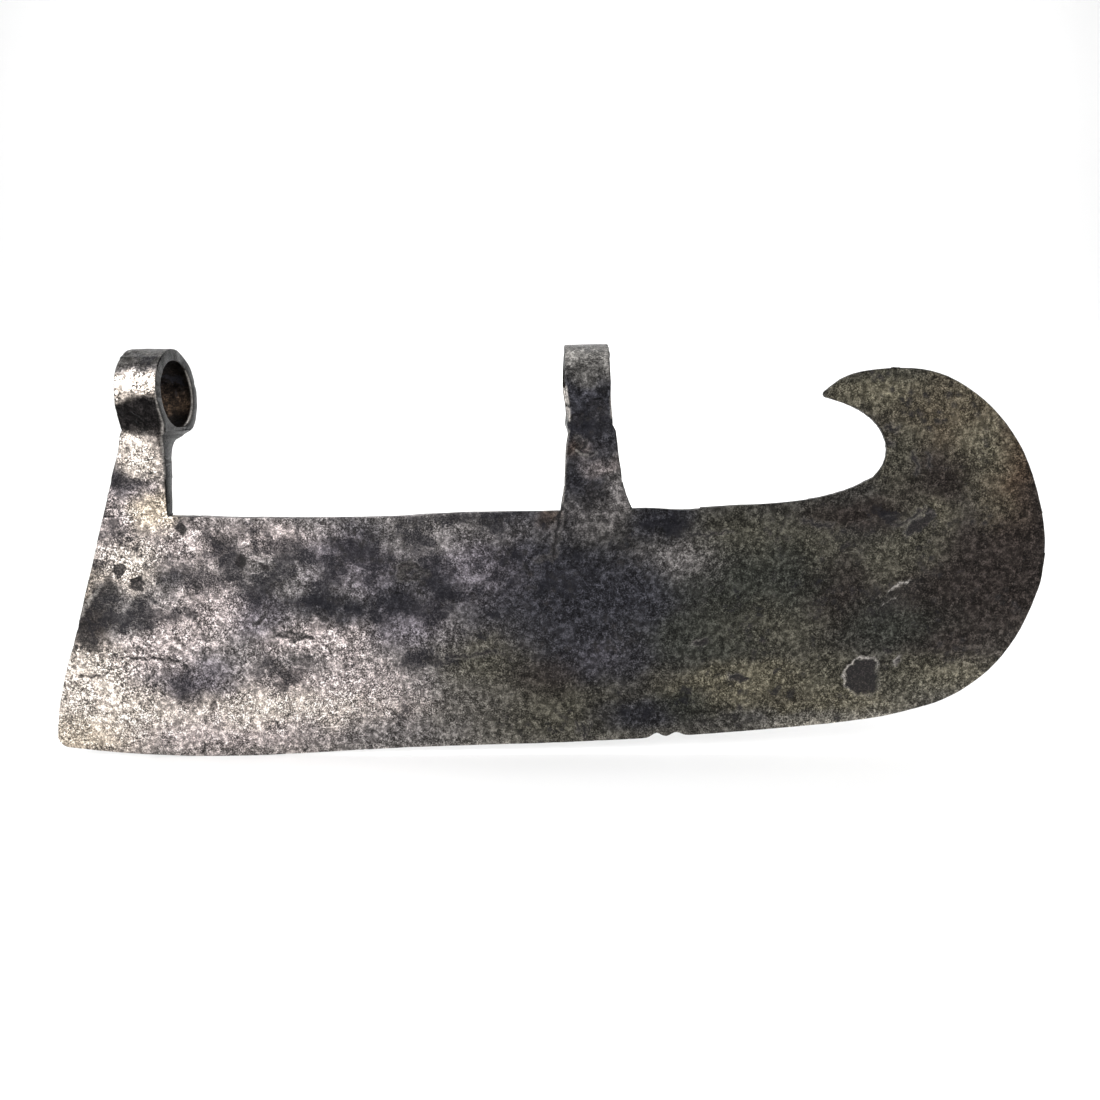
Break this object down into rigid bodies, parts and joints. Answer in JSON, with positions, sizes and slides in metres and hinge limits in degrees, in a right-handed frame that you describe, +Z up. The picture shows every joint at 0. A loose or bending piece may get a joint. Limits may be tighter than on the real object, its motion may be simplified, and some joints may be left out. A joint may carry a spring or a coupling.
{
  "type": "meat cleaver",
  "caption": "Forged iron cleaver with a hooked nose, hung from a round bar by two eye straps that stand behind its spine.",
  "frame": {"origin": "centre of the heel eye's bore", "axes": "+X along both bores, from the heel to the hooked nose; +Z up, away from the cutting edge; +Y to the side that the eyes stand out on"},
  "size_m": [0.512, 0.0454, 0.2117],
  "materials": {
    "forged_iron": "hammered, pitted, darkened",
    "edge_steel": "worn, pitted",
    "strap_iron": "hammered, darkened"
  },
  "bodies": {
    "root": {"blade_body": "forged_iron", "edge_steel": "edge_steel", "heel_strap": "strap_iron", "centre_strap": "strap_iron"}
  },
  "joints": []
}
